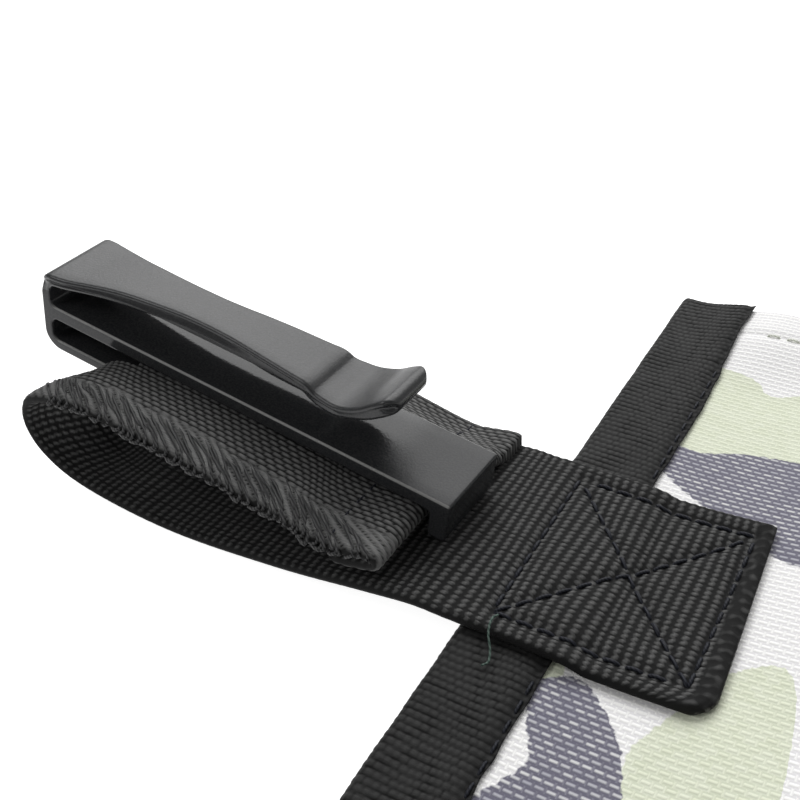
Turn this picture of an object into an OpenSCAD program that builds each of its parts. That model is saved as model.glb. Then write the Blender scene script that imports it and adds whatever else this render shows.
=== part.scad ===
// Flat fire-resistant pouch for lithium batteries, lying on its back, with a webbing strap loop
// sewn over one bound edge and a moulded belt clip threaded on the loop.
// Origin: centre of the flat underside. +X across the pouch, +Y towards its closed end, +Z up.

/* [Pouch] */
// Width of the pouch across its two bound edges
bag_width = 180; // [170:1:240]
// Length of the pouch from its mouth to its closed end
bag_length = 230; // [210:1:300]
// Height of the underside of the edge seams above the surface it lies on
edge_height = 3.8; // [3.4:0.1:5]
// How far the upper face swells above its edge seams
face_swell = 5.4; // [4:0.1:8]
// Thickness of the printed outer fabric
panel_t = 0.8; // [0.6:0.1:1]
// Thickness of the glass-fibre lining
lining_t = 0.6; // [0.4:0.1:0.8]
// Distance of the topstitching from the closed end
end_hem = 8; // [6:0.5:12]

/* [Edge tape] */
// Width of the binding tape on each face
tape_w = 14; // [12:0.5:14]
// Thickness of the binding tape
tape_t = 0.8; // [0.6:0.1:0.9]

/* [Flap] */
// How far the flap reaches over the upper face, from the mouth
flap_length = 72; // [65:1:80]
// How far the flap is set in from each side of the pouch
flap_inset = 2; // [1:0.5:6]
// Length of the hook and loop strips across the pouch
grip_length = 120; // [80:1:130]
// Width of the hook and loop strips
grip_width = 25; // [20:1:25]

/* [Strap] */
// Width of the webbing
strap_w = 38; // [36:0.5:40]
// Thickness of the webbing
strap_t = 1.6; // [1.4:0.1:1.6]
// Distance of the strap's centre line from the middle of the pouch
strap_y = 41; // [30:1:50]
// Length of the tab that is sewn down on the pouch
tab_length = 32.5; // [28:0.5:36]

/* [Belt clip] */
// Length of the clip
clip_length = 74.7; // [74:0.1:75]
// Width of the clip
clip_w = 14; // [12:0.5:14]
// Thickness of the plate under the spring arm
plate_t = 2.4; // [2:0.1:2.4]
// Length of the lower leg inside the webbing loop
leg_length = 50; // [40:1:50]
// Rise of the clip towards its closed end, in degrees
clip_tilt = 7.2; // [7:0.1:7.4]
// Turn of the clip and the loop about the vertical, in degrees
clip_yaw = -2.8; // [-3:0.1:-2.6]

/* [Hidden] */
$fn = 48;

half_w = bag_width / 2;
half_l = bag_length / 2;
side_margin = tape_w + 1;        // flat sewn border along each bound edge
end_margin = 13;                 // flat sewn border along the closed end
side_ramp = 60;                  // width over which the faces swell from a bound edge
end_ramp = 45;                   // and from the closed end
mouth_ramp = 35;                 // and from the mouth
mouth_share = 0.6;               // part of the swell that is left at the mouth
ramp_steps = 8;
reach = 40;                      // overshoot of the shaping solids past the pouch
stack_t = 2 * (panel_t + lining_t);
edge_top = edge_height + stack_t;
flap_gap = 2.6;                  // height of the flap's inner face above the upper face
skin_t = panel_t + lining_t;
mouth_y = -half_l;
fold_y = mouth_y - 2;            // the back panel reaches this far before it turns up
fold_r = (edge_top + face_swell * mouth_share + flap_gap + skin_t) / 2;
body_gap = 0.3;                  // clearance between pieces that move apart
flap_half_w = half_w - flap_inset;
flap_edge_y = mouth_y + flap_length;
loop_t = 1.1;                    // thickness of the loop strip
hook_t = 1.2;                    // thickness of the hook strip
grip_y = flap_edge_y - tape_w - 1 - grip_width;

stitch_l = 2.4;
stitch_w = 0.5;
stitch_h = 0.35;
stitch_pitch = 3.4;
stitch_show = 0.25;              // height of a stitch that is trimmed to a curved face
stitch_sink = 0.1;               // how far such a stitch reaches below the face before trimming
stitch_lift = 0.1;               // clearance under a straight stitch on a curved face

edge_x = -half_w;                // the bound edge that carries the strap
tape_top = edge_top + tape_t;
tab_top = tape_top + strap_t;    // reference height of the strap where it crosses the edge

plate_end = [-7, -0.6, 7.1];     // clip plate's end, from the edge, strap centre and tab_top
wall_t = 1.8;
leg_drop = 8.2;                  // underside of the leg below the plate's top
leg_t = 1.8;
lip_t = 3;
lip_drop = 6.8;
arm_t = 1.9;
split_z = 3.4;                   // height of the top of the back wall
arm_low = split_z + body_gap;    // underside of the arm's root
slit_half = clip_w / 2 + 1.2;
slit_end = -64;                  // inner end of the slit, from the bound edge
route_steps = 4;                 // pieces between two points of a smooth curve
seat = 0.05;                     // clearance of the tab over the swelling face

black_web = [0.07, 0.07, 0.08];
black_thread = [0.04, 0.04, 0.05];
black_plastic = [0.10, 0.10, 0.11];
camo_base = [0.80, 0.83, 0.76];
lining_silver = [0.78, 0.79, 0.78];

// ---- shape of the pouch -------------------------------------------------------------------

// Smooth rise from 0 to 1 over a span
function ramp(d, span) = d <= 0 ? 0 : d >= span ? 1 : (1 - cos(180 * d / span)) / 2;

// Share of the full swell at x, and at y for the upper and the lower face
function swell_x(x) = ramp(half_w - side_margin - abs(x), side_ramp);
function swell_end(y) = ramp(half_l - end_margin - y, end_ramp);
function swell_mouth(y) = mouth_share + (1 - mouth_share) * ramp(y - mouth_y, mouth_ramp);
function top_x(x) = edge_top + face_swell * swell_x(x);
function top_y(y) = edge_top + face_swell * min(swell_end(y), swell_mouth(y));
function bottom_x(x) = edge_height * (1 - swell_x(x));
function bottom_y(y) = edge_height * (1 - swell_end(y));
function top_at(x, y) = min(top_x(x), top_y(y));

// Stations along each direction where the slope changes
function ramp_at(start, span) = [for (i = [0:ramp_steps]) start + span * i / ramp_steps];
x_left = ramp_at(-half_w + side_margin, side_ramp);
x_right = ramp_at(half_w - side_margin - side_ramp, side_ramp);
stations_x = concat([-half_w - reach], x_left, x_right, [half_w + reach]);
stations_y = concat([mouth_y - reach], ramp_at(mouth_y, mouth_ramp),
    ramp_at(half_l - end_margin - end_ramp, end_ramp), [half_l + reach]);

// Profile in X or Y drawn upright and extruded along the other direction
module along_y() translate([0, half_l + reach, 0]) rotate([90, 0, 0])
    linear_extrude(bag_length + 2 * reach) children();
module along_x() translate([-half_w - reach, 0, 0]) rotate([90, 0, 90])
    linear_extrude(bag_width + 2 * reach) children();

// Everything below the upper face raised by off
module under(off) {
    floor_z = -reach;
    intersection() {
        along_y() polygon(concat([for (x = stations_x) [x, top_x(x) + off]],
            [[half_w + reach, floor_z], [-half_w - reach, floor_z]]));
        along_x() polygon(concat([for (y = stations_y) [y, top_y(y) + off]],
            [[half_l + reach, floor_z], [mouth_y - reach, floor_z]]));
    }
}

// Everything above the lower face raised by off
module over(off) {
    intersection() {
        along_y() polygon(concat([for (x = stations_x) [x, bottom_x(x) + off]],
            [[half_w + reach, reach], [-half_w - reach, reach]]));
        along_x() polygon(concat([for (y = stations_y) [y, bottom_y(y) + off]],
            [[half_l + reach, reach], [mouth_y - reach, reach]]));
    }
}

// Upright block over a plan rectangle
module plan(x0, x1, y0, y1) translate([x0, y0, -reach / 2]) cube([x1 - x0, y1 - y0, 2 * reach]);

// Layer between two heights above the upper face, over a plan rectangle
module top_layer(low, high, x0, x1, y0, y1) {
    intersection() {
        difference() { under(high); under(low); }
        plan(x0, x1, y0, y1);
    }
}

module bottom_layer(low, high, y0) {
    intersection() {
        difference() { over(low); over(high); }
        plan(-half_w, half_w, y0, half_l);
    }
}

// ---- pouch --------------------------------------------------------------------------------

module front_panel() color(camo_base)
    top_layer(-panel_t, 0, -half_w, half_w, mouth_y, half_l);

module front_lining() color(lining_silver)
    top_layer(-skin_t, -panel_t, -half_w, half_w, mouth_y, half_l);

module back_panel() color(camo_base) bottom_layer(0, panel_t, fold_y);

module back_lining() color(lining_silver) bottom_layer(panel_t, skin_t, fold_y);

// Tape folded round a bound edge; side is -1 or 1
module binding(side) {
    inner_x = half_w - tape_w;
    rotate([0, 0, side < 0 ? 180 : 0]) difference() {
        translate([inner_x, -half_l, edge_height - tape_t])
            cube([tape_w + tape_t, bag_length, stack_t + 2 * tape_t]);
        translate([inner_x - 1, -half_l - 1, edge_height])
            cube([tape_w + 1, bag_length + 2, stack_t]);
    }
}

module left_binding() color(black_web) binding(-1);

module right_binding() color(black_web) binding(1);

module stitch(length = stitch_l) cube([length, stitch_w, stitch_h], center = true);

// Row of stitches along Y at x on both faces of a bound edge, left out from skip0 to skip1
module edge_row(x, skip0, skip1) {
    for (y = [-half_l + stitch_pitch : stitch_pitch : half_l - stitch_pitch]) {
        if (y < skip0 || y > skip1)
            translate([x, y, tape_top + stitch_h / 2]) rotate([0, 0, 90]) stitch();
        translate([x, y, edge_height - tape_t - stitch_h / 2]) rotate([0, 0, 90]) stitch();
    }
}

module left_binding_stitches() color(black_thread)
    edge_row(-half_w + tape_w - 2, strap_y - strap_w / 2 - 2, strap_y + strap_w / 2 + 2);

module right_binding_stitches() color(black_thread)
    edge_row(half_w - tape_w + 2, half_l, half_l);

// Row of stitches along X at y on the upper face, off above it
module cross_row(y, half, off) {
    for (x = [-half : stitch_pitch : half])
        translate([x, y, top_at(x, y) + off + stitch_h / 2]) stitch();
}

// Row of stitches along Y at x on the upper face, off above it
module long_row(x, y0, y1, off) {
    for (y = [y0 : stitch_pitch : y1])
        translate([x, y, top_at(x, y) + off + stitch_h / 2]) rotate([0, 0, 90]) stitch();
}

module end_topstitch() color(camo_base) {
    y = half_l - end_hem;
    half = half_w - tape_w - stitch_l;
    cross_row(y, half, 0);
    for (x = [-half : stitch_pitch : half])
        translate([x, y, edge_height - stitch_h / 2]) stitch();
}

// What stands out of the children between a height off and the top of a trimmed stitch
module trimmed(off) intersection() {
    children();
    top_layer(off, off + stitch_show, -half_w, half_w, fold_y, half_l);
}

module mouth_topstitch() color(camo_base) trimmed(0)
    cross_row(mouth_y + end_hem, half_w - tape_w - stitch_l, -stitch_sink);

// ---- closure ------------------------------------------------------------------------------

module loop_strip() color(black_web)
    top_layer(0, loop_t, -grip_length / 2, grip_length / 2, grip_y, grip_y + grip_width);

// Rectangle of stitches just inside the edges of a hook or loop strip, on a face at off
module grip_box(off) trimmed(off) {
    seam = 2;
    half = grip_length / 2 - seam;
    low = grip_y + seam;
    high = grip_y + grip_width - seam;
    for (y = [low, high]) cross_row(y, half, off - stitch_sink);
    for (x = [-half, half]) long_row(x, low + stitch_pitch, high - stitch_pitch, off - stitch_sink);
}

module loop_strip_stitches() color(black_thread) grip_box(loop_t);

// Half-round nose of the mouth fold, drawn in by t from its outside
module nose(t) {
    intersection() {
        along_x() union() {
            translate([fold_y, fold_r]) circle(r = fold_r - t);
            translate([fold_y, t]) square([reach, 2 * (fold_r - t)]);
        }
        along_y() polygon(concat(
            [for (x = stations_x) [x, top_x(x) + flap_gap + skin_t - t]],
            [for (i = [len(stations_x) - 1 : -1 : 0])
                [stations_x[i], bottom_x(stations_x[i]) + t]]));
    }
}

module flap_fold() color(camo_base) intersection() {
    difference() { nose(0); nose(skin_t); }
    plan(-flap_half_w, flap_half_w, fold_y - 2 * fold_r, fold_y);
}

module flap_layer(low, high, grow = 0)
    top_layer(low, high, -flap_half_w - grow, flap_half_w + grow,
        fold_y + body_gap, flap_edge_y + grow);

module flap_lining() color(lining_silver) flap_layer(flap_gap, flap_gap + lining_t);

module flap_panel() color(camo_base) flap_layer(flap_gap + lining_t, flap_gap + skin_t);

// Tape folded round the three free edges of the flap
module flap_binding() color(black_web) difference() {
    flap_layer(flap_gap - tape_t, flap_gap + skin_t + tape_t, tape_t);
    top_layer(flap_gap, flap_gap + skin_t, -flap_half_w, flap_half_w, fold_y, flap_edge_y);
    plan(-flap_half_w + tape_w, flap_half_w - tape_w, fold_y - reach, flap_edge_y - tape_w);
}

module flap_binding_stitches() color(black_thread) {
    off = flap_gap + skin_t + tape_t;
    base = off - stitch_sink;
    inset = tape_w - 2;
    last_y = flap_edge_y - inset;
    trimmed(off) {
        cross_row(last_y, flap_half_w - inset - stitch_pitch, base);
        for (x = [-flap_half_w + inset, flap_half_w - inset])
            long_row(x, fold_y + stitch_pitch, last_y - stitch_pitch, base);
    }
}

module hook_strip() color(black_web)
    top_layer(flap_gap - hook_t, flap_gap, -grip_length / 2, grip_length / 2,
        grip_y, grip_y + grip_width);

module hook_strip_stitches() color(black_thread) grip_box(flap_gap + skin_t);

// ---- strap --------------------------------------------------------------------------------

// Upright profile in X, extruded along Y and centred on it
module side_cut(width) rotate([90, 0, 0]) translate([0, 0, -width / 2])
    linear_extrude(width) children();

// Underside of the tab: on the tape first, then down on to the printed face
function tab_under(d) =
    let (on_face = top_x(edge_x + d) + seat, step = ramp(d - tape_w, 3))
    tape_top * (1 - step) + on_face * step;
function tab_stations() =
    concat([0], [for (i = [0:6]) tape_w + i / 2], [for (d = [tape_w + 6 : 3 : tab_length]) d],
        [tab_length]);

module strap_tab() color(black_web) {
    line = [for (d = tab_stations()) [edge_x + d, tab_under(d)]];
    back = [for (i = [len(line) - 1 : -1 : 0]) line[i] + [0, strap_t]];
    translate([0, strap_y, 0]) side_cut(strap_w) polygon(concat(line, back));
}

// Stitches from a to b in plan, in strap coordinates, clear of the tab over their whole length
module tab_line(a, b) {
    run = b - a;
    count = floor(norm(run) / stitch_pitch);
    half_x = abs(run[0]) / norm(run) * stitch_l / 2;
    for (i = [0.5 : 1 : count]) {
        p = a + run * i / count;
        under_it = max([for (s = [-1, 0, 1]) tab_under(p[0] + s * half_x)]);
        translate([edge_x + p[0], strap_y + p[1], under_it + strap_t + stitch_h / 2 + stitch_lift])
            rotate([0, 0, atan2(run[1], run[0])]) stitch();
    }
}

module box_x_stitches() color(black_thread) {
    x0 = 3;
    x1 = tab_length - 6.5;
    side = strap_w / 2 - 3.5;
    corners = [[x0, -side], [x1, -side], [x1, side], [x0, side]];
    for (i = [0:3]) tab_line(corners[i], corners[(i + 1) % 4]);
    for (i = [0, 1]) tab_line(corners[i], corners[i + 2]);
}

// Centre line of the loop from its cut end, round the turn and back to the bound edge,
// as distance from the edge and height above the strap's reference height
loop_route = [
    [-11.6, 1], [-20, 3.9], [-40, 7.1], [-58, 9.7], [-68, 9.9], [-75, 6.8], [-77.4, 1.2],
    [-74.4, -4], [-66.5, -7.1], [-50, -8], [-30, -5.9], [-15, -2.5], [-7, -0.95], [-2.2, -0.8]
];

// Point at u from 0 to 1 between b and c on a smooth curve through a, b, c, d
function curve(a, b, c, d, u) = 0.5 * (2 * b + (c - a) * u
    + (2 * a - 5 * b + 4 * c - d) * u * u + (3 * b - a - 3 * c + d) * u * u * u);
function smooth(p, steps) =
    let (n = len(p))
    [for (i = [0 : n - 2], k = [0 : steps - 1])
        curve(p[max(i - 1, 0)], p[i], p[i + 1], p[min(i + 2, n - 1)], k / steps), p[n - 1]];
function sideways(p, i) =
    let (d = p[min(i + 1, len(p) - 1)] - p[max(i - 1, 0)]) [-d[1], d[0]] / norm(d);
function offset_line(p, by) = [for (i = [0 : len(p) - 1]) p[i] + by * sideways(p, i)];
function reversed(p) = [for (i = [len(p) - 1 : -1 : 0]) p[i]];

// Band of even thickness along a line of points
module band(line, t) polygon(concat(offset_line(line, t / 2), reversed(offset_line(line, -t / 2))));

// Strap coordinates turned with the clip: x from the bound edge, z from the reference height
module at_strap() translate([edge_x, strap_y, tab_top]) rotate([0, 0, clip_yaw]) children();

loop_line = smooth(loop_route, route_steps);

module webbing_loop() color(black_web) at_strap() difference() {
    side_cut(strap_w) band(loop_line, strap_t);
    translate([slit_end - reach, -slit_half, -reach]) cube([reach, 2 * slit_half, 2 * reach]);
}

// Stitch across the loop, lying on its outside at point i of its line
module across_loop(i, y) {
    out = -sideways(loop_line, i);
    p = loop_line[i] + out * ((strap_t + stitch_h) / 2 + stitch_lift);
    translate([p[0], y, p[1]]) rotate([0, atan2(out[0], out[1]), 0]) rotate([0, 0, 90]) stitch();
}

// Two rows that close the loop, on top of the cut end
module loop_seam_stitches() color(black_thread) at_strap()
    for (side = [-1, 1], i = [0:3])
        across_loop(1, side * (strap_w / 2 - 2 - i * stitch_pitch));

// Bar tack at the inner end of the slit
module slit_stitches() color(black_thread) at_strap()
    for (i = [-2:2]) across_loop(8 * route_steps + 2, i * stitch_pitch);

// ---- belt clip ----------------------------------------------------------------------------

// Clip coordinates: the origin is the top edge of the plate's end, x runs back along the plate
module at_clip() translate([edge_x, strap_y, tab_top] + plate_end)
    rotate([0, clip_tilt, clip_yaw]) children();

// Back wall with its rounded lower corner, and the roots of the leg and the plate
module wall_outline() {
    x0 = -clip_length;
    corner_r = 3.2;
    depth = corner_r + wall_t;
    difference() {
        union() {
            translate([x0 + corner_r, -leg_drop]) square([depth - corner_r, leg_drop + split_z]);
            translate([x0, corner_r - leg_drop]) square([corner_r, leg_drop + split_z - corner_r]);
            translate([x0 + corner_r, corner_r - leg_drop]) circle(r = corner_r);
        }
        translate([x0 + wall_t, leg_t - leg_drop])
            square([depth, leg_drop - leg_t - plate_t]);
        translate([x0 + wall_t, 0]) square([depth, split_z + 1]);
    }
}

module clip_frame() color(black_plastic) at_clip() side_cut(clip_w) {
    wall_outline();
    translate([-clip_length + wall_t, -plate_t]) square([clip_length - wall_t, plate_t]);
    translate([-lip_t, -lip_drop]) square([lip_t, lip_drop]);
    translate([-clip_length + wall_t + 2, -leg_drop]) square([leg_length, leg_t]);
}

// Centre line of the spring arm, as distance from the plate's end and height above the plate
arm_route = [
    [-clip_length + arm_t, arm_low + arm_t / 2], [-70, 4.85], [-62, 5.5], [-50, 6.1], [-38, 6.5],
    [-29, 6.4], [-24, 5.8], [-20, 5.7], [-16.5, 7], [-14, 8.6], [-11.5, 10.3]
];
// Outline of the arm in plan: distance from the plate's end and half width
arm_outline = [
    [-clip_length, clip_w / 2], [-70.5, clip_w / 2 - 0.2], [-62, 5.4], [-52, 4.2], [-44, 4],
    [-34, 4.8], [-26, 5.3], [-20, 6], [-15, 5.6], [-12, 4.2], [-10.6, 1.6]
];

// Side view of the arm, with a rounded corner at its root
module arm_profile() {
    line = smooth(arm_route, route_steps);
    corner = [for (a = [180 : -15 : 105])
        [arm_t - clip_length, arm_low] + arm_t * [cos(a), sin(a)]];
    polygon(concat(corner, offset_line(line, arm_t / 2),
        reversed(offset_line(line, -arm_t / 2))));
}

module spring_arm() {
    side = smooth(arm_outline, route_steps);
    mirrored = [for (p = reversed(side)) [p[0], -p[1]]];
    color(black_plastic) at_clip() intersection() {
        side_cut(clip_w) arm_profile();
        translate([0, 0, -reach]) linear_extrude(2 * reach) polygon(concat(side, mirrored));
    }
}

back_panel();
front_panel();
back_lining();
front_lining();
left_binding();
right_binding();
left_binding_stitches();
right_binding_stitches();
end_topstitch();
mouth_topstitch();
loop_strip();
loop_strip_stitches();
flap_fold();
flap_panel();
flap_lining();
flap_binding();
flap_binding_stitches();
hook_strip();
hook_strip_stitches();
strap_tab();
box_x_stitches();
webbing_loop();
loop_seam_stitches();
slit_stitches();
clip_frame();
spring_arm();
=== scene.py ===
"""Flat fire-resistant battery pouch with a webbing strap loop and a belt clip, built round its frame.

Sizes are in millimetres until mesh_piece() turns them into metres. Strap coordinates are x from the
bound edge (negative away from the pouch), y from the strap's centre line and z from the tab's top.
"""
import math

import bpy
import numpy as np
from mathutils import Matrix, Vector
from mathutils.geometry import tessellate_polygon


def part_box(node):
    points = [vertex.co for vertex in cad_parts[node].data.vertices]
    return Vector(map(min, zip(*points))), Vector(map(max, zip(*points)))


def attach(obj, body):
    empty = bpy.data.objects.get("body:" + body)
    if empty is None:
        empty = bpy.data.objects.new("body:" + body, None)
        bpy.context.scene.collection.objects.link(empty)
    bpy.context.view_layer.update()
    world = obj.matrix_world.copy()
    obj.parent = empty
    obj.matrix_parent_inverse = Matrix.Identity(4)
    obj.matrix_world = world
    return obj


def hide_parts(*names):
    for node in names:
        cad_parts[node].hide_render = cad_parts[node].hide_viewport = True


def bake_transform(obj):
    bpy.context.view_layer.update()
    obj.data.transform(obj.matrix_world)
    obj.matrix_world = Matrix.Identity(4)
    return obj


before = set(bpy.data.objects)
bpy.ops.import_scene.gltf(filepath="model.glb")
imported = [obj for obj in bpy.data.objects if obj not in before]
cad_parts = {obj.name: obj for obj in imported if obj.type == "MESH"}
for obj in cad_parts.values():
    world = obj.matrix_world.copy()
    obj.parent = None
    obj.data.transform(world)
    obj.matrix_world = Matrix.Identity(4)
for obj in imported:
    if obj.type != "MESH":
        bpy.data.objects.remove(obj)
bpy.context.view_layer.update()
MM = 0.001


def box_mm(node):
    """Lowest and highest corner of a CAD node, in millimetres."""
    low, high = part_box(node)
    return np.array(low) / MM, np.array(high) / MM


# ---- driving sizes ----

HALF_W, HALF_L, PANEL_HIGH = box_mm("front_panel")[1]
MOUTH_Y = -HALF_L
PANEL_T, LINING_T = 0.8, 0.6
SKIN_T = PANEL_T + LINING_T
EDGE_LOW = box_mm("back_panel")[0][2] + 3.8        # underside of the sewn edges
EDGE_TOP = EDGE_LOW + 2 * SKIN_T
SWELL = PANEL_HIGH - EDGE_TOP
MOUTH_SHARE = 0.6                                   # share of the swell left at the mouth
TAPE_W, TAPE_T = 14.0, 0.8
TAPE_TOP = EDGE_TOP + TAPE_T
FOLD_Y = MOUTH_Y - 2                                # where the back cloth turns up into the flap
FLAP_GAP = 2.6
FLAP_HALF, FLAP_END, _ = box_mm("flap_panel")[1]
FOLD_R = (EDGE_TOP + SWELL * MOUTH_SHARE + FLAP_GAP + SKIN_T) / 2
tab_low, tab_high = box_mm("strap_tab")
STRAP_W = tab_high[1] - tab_low[1]
STRAP_Y = (tab_high[1] + tab_low[1]) / 2
TAB_L = tab_high[0] - tab_low[0]
STRAP_T = 1.6
TAB_TOP = TAPE_TOP + STRAP_T
CLIP_YAW, CLIP_TILT = math.radians(-2.8), math.radians(7.2)
CLIP_L, CLIP_W = 74.7, 14.0
PLATE_END = np.array([-7, -0.6, 7.1])
STITCH, PITCH = 2.6, 3.4
END_LIFT = 3.2
END_Y = HALF_L + 2.8           # the turned cloth stands a little past the sewn end
TOPSTITCH_Y = HALF_L - 6
END_TURN = 1.0                 # how far from the end the cloth's edge starts to turn in


# ---- numbers ----

def stack(*parts):
    """Arrays of coordinates joined into one array of points."""
    return np.stack(parts, -1)


def ramp(d, span):
    """Smooth rise from 0 to 1 over a span."""
    return (1 - np.cos(math.pi * np.clip(d / span, 0, 1))) / 2


def soft_min(a, b, k=1.0):
    h = np.maximum(k - np.abs(a - b), 0) / k
    return np.minimum(a, b) - h ** 3 * k / 6


def ripples(x, y, scale, seed, count=8):
    """Sum of waves in random directions, about 1 high, that stands for uneven cloth."""
    rng = np.random.default_rng(seed)
    total = np.zeros(np.broadcast(x, y).shape)
    for _ in range(count):
        angle, phase = rng.uniform(0, 2 * math.pi, 2)
        k = 2 * math.pi / (scale * rng.uniform(0.6, 1.7))
        total = total + np.sin(k * (x * math.cos(angle) + y * math.sin(angle)) + phase)
    return total / math.sqrt(count)


def smooth_line(points, per_piece=12):
    """Catmull-Rom curve through points."""
    p = np.array(points, float)
    q = np.vstack([2 * p[0] - p[1], p, 2 * p[-1] - p[-2]])
    out = []
    for i in range(1, len(q) - 2):
        a, b, c, d = q[i - 1], q[i], q[i + 1], q[i + 2]
        for u in np.arange(per_piece) / per_piece:
            out.append(0.5 * (2 * b + (c - a) * u + (2 * a - 5 * b + 4 * c - d) * u * u
                              + (3 * b - a - 3 * c + d) * u ** 3))
    out.append(p[-1])
    return np.array(out)


def lengths(line):
    """Distance along a line at each of its points."""
    return np.concatenate([[0], np.cumsum(np.linalg.norm(np.diff(line, axis=0), axis=1))])


def even_line(line, step):
    """The same line with points about a step apart."""
    s = lengths(line)
    at = np.linspace(0, s[-1], max(2, int(round(s[-1] / step)) + 1))
    return np.stack([np.interp(at, s, line[:, k]) for k in range(line.shape[1])], 1)


def unit(v):
    return v / np.maximum(np.linalg.norm(v, axis=-1, keepdims=True), 1e-9)


def spaced(low, high, step):
    """Even values from low to high, about a step apart."""
    return np.linspace(low, high, max(2, int(round(abs(high - low) / step)) + 1))


def segment_distance(x, y, a, b):
    dx, dy = b[0] - a[0], b[1] - a[1]
    t = np.clip(((x - a[0]) * dx + (y - a[1]) * dy) / (dx * dx + dy * dy), 0, 1)
    return np.hypot(x - a[0] - t * dx, y - a[1] - t * dy)


def dome(f):
    """Half circle, 1 high at 0 and down to 0 at -1 and 1."""
    return np.sqrt(np.clip(1 - f ** 2, 0, 1))


# ---- meshes ----

def mesh_piece(name, points, faces, material, slot, **attributes):
    """Makes an object from points in millimetres and a list of face arrays."""
    faces = [np.asarray(f, np.int32) for f in faces if len(f)]
    mesh = bpy.data.meshes.new(name)
    mesh.vertices.add(len(points))
    mesh.vertices.foreach_set("co", (np.asarray(points) * MM).astype(np.float32).ravel())
    corners = np.concatenate([f.ravel() for f in faces])
    sizes = np.concatenate([np.full(len(f), f.shape[1], np.int32) for f in faces])
    mesh.loops.add(len(corners))
    mesh.loops.foreach_set("vertex_index", corners)
    mesh.polygons.add(len(sizes))
    mesh.polygons.foreach_set("loop_start", np.concatenate([[0], np.cumsum(sizes)[:-1]]).astype(np.int32))
    mesh.polygons.foreach_set("use_smooth", np.full(len(sizes), True))
    mesh.update(calc_edges=True)
    for key, value in attributes.items():
        value = np.asarray(value, np.float32)
        kind = "FLOAT" if value.ndim == 1 else "FLOAT_VECTOR"
        layer = mesh.attributes.new(key, kind, "POINT")
        layer.data.foreach_set("value" if value.ndim == 1 else "vector", value.ravel())
    mesh.materials.append(material)
    piece = bpy.data.objects.new(name, mesh)
    bpy.context.scene.collection.objects.link(piece)
    return piece


def sheet_faces(rows, cols, keep=None):
    """Faces of a sheet of two grids, the upper one first, with its rims and the rims of any hole."""
    keep = np.ones((rows - 1, cols - 1), bool) if keep is None else keep
    index = np.arange(rows * cols).reshape(rows, cols)
    a, b, c, d = index[:-1, :-1], index[1:, :-1], index[1:, 1:], index[:-1, 1:]
    top = stack(a, b, c, d)[keep]
    low = stack(a, d, c, b)[keep] + rows * cols
    padded = np.pad(keep, 1)
    rims = []
    for di, dj, p, q in ((-1, 0, d, a), (1, 0, b, c), (0, -1, a, b), (0, 1, c, d)):
        near = padded[1 + di:rows + di, 1 + dj:cols + dj]
        edge = keep & ~near
        rims.append(stack(q[edge], p[edge], p[edge] + rows * cols, q[edge] + rows * cols))
    return [top, low, np.concatenate(rims)]


def sheet_piece(name, upper, lower, material, slot, keep=None, **attributes):
    """A thick sheet between two grids of points; attributes are given once, for the upper grid."""
    rows, cols = upper.shape[:2]
    points = np.concatenate([upper.reshape(-1, 3), lower.reshape(-1, 3)])
    faces = sheet_faces(rows, cols, keep)
    doubled = {}
    for key, value in attributes.items():
        flat = np.asarray(value).reshape((rows * cols, -1)).squeeze()
        doubled[key] = np.concatenate([flat, flat])
    if keep is not None:
        used = np.zeros(len(points), bool)
        for f in faces:
            used[f.ravel()] = True
        renumber = np.cumsum(used) - 1
        points, faces = points[used], [renumber[f] for f in faces]
        doubled = {k: v[used] for k, v in doubled.items()}
    return mesh_piece(name, points, faces, material, slot, **doubled)


def tube_points(line, radius, sides=6):
    """Rings of points round a line, with faces and closed ends."""
    line = np.asarray(line, float)
    radius = np.broadcast_to(radius, len(line))
    along = unit(np.gradient(line, axis=0))
    across = unit(np.cross(along, [0.31, 0.17, 0.93]))
    other = np.cross(along, across)
    angle = np.arange(sides) * 2 * math.pi / sides
    cos, sin = np.cos(angle)[None, :, None], np.sin(angle)[None, :, None]
    rings = line[:, None] + radius[:, None, None] * (across[:, None] * cos + other[:, None] * sin)
    index = np.arange(len(line) * sides).reshape(len(line), sides)
    nxt = np.roll(index, -1, axis=1)
    quads = stack(index[:-1], nxt[:-1], nxt[1:], index[1:]).reshape(-1, 4)
    return rings.reshape(-1, 3), quads, index[0][::-1], index[-1]


def tubes_piece(name, lines, radius, material, slot, sides=6):
    """Many thin tubes as one piece: threads, stitches or hooks."""
    points, quads, caps, start = [], [], [], 0
    for line in lines:
        p, q, first, last = tube_points(line, radius, sides)
        points.append(p)
        quads.append(q + start)
        caps += [first + start, last + start]
        start += len(p)
    return mesh_piece(name, np.concatenate(points), [np.concatenate(quads), np.array(caps)], material, slot)


# ---- shape of the pouch ----

def swell_x(x):
    """Share of the swell across the pouch; the next two give it towards the closed end and the mouth."""
    return ramp(HALF_W - TAPE_W - 1 - np.abs(x), 60)


def swell_end(y):
    return ramp(HALF_L - 13 - y, 45)


def swell_mouth(y):
    return MOUTH_SHARE + (1 - MOUTH_SHARE) * ramp(y - MOUTH_Y, 35)


def slack(x, y):
    """Gentle unevenness of the nearly empty pouch, none at its sewn edges."""
    inner = ramp(HALF_W - TAPE_W - np.abs(x), 25) * ramp(HALF_L - 9 - y, 25)
    return inner * (0.30 * ripples(x, y, 55, 3) + 0.10 * ripples(x, y, 17, 4) - 0.25)


def end_lift(x, y):
    """Extra height near the closed end, where the turned edges of the cloth lie on each other."""
    return END_LIFT * ramp(HALF_W - 2 - np.abs(x), 18) * ramp(y - HALF_L + 24, 22)


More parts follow.
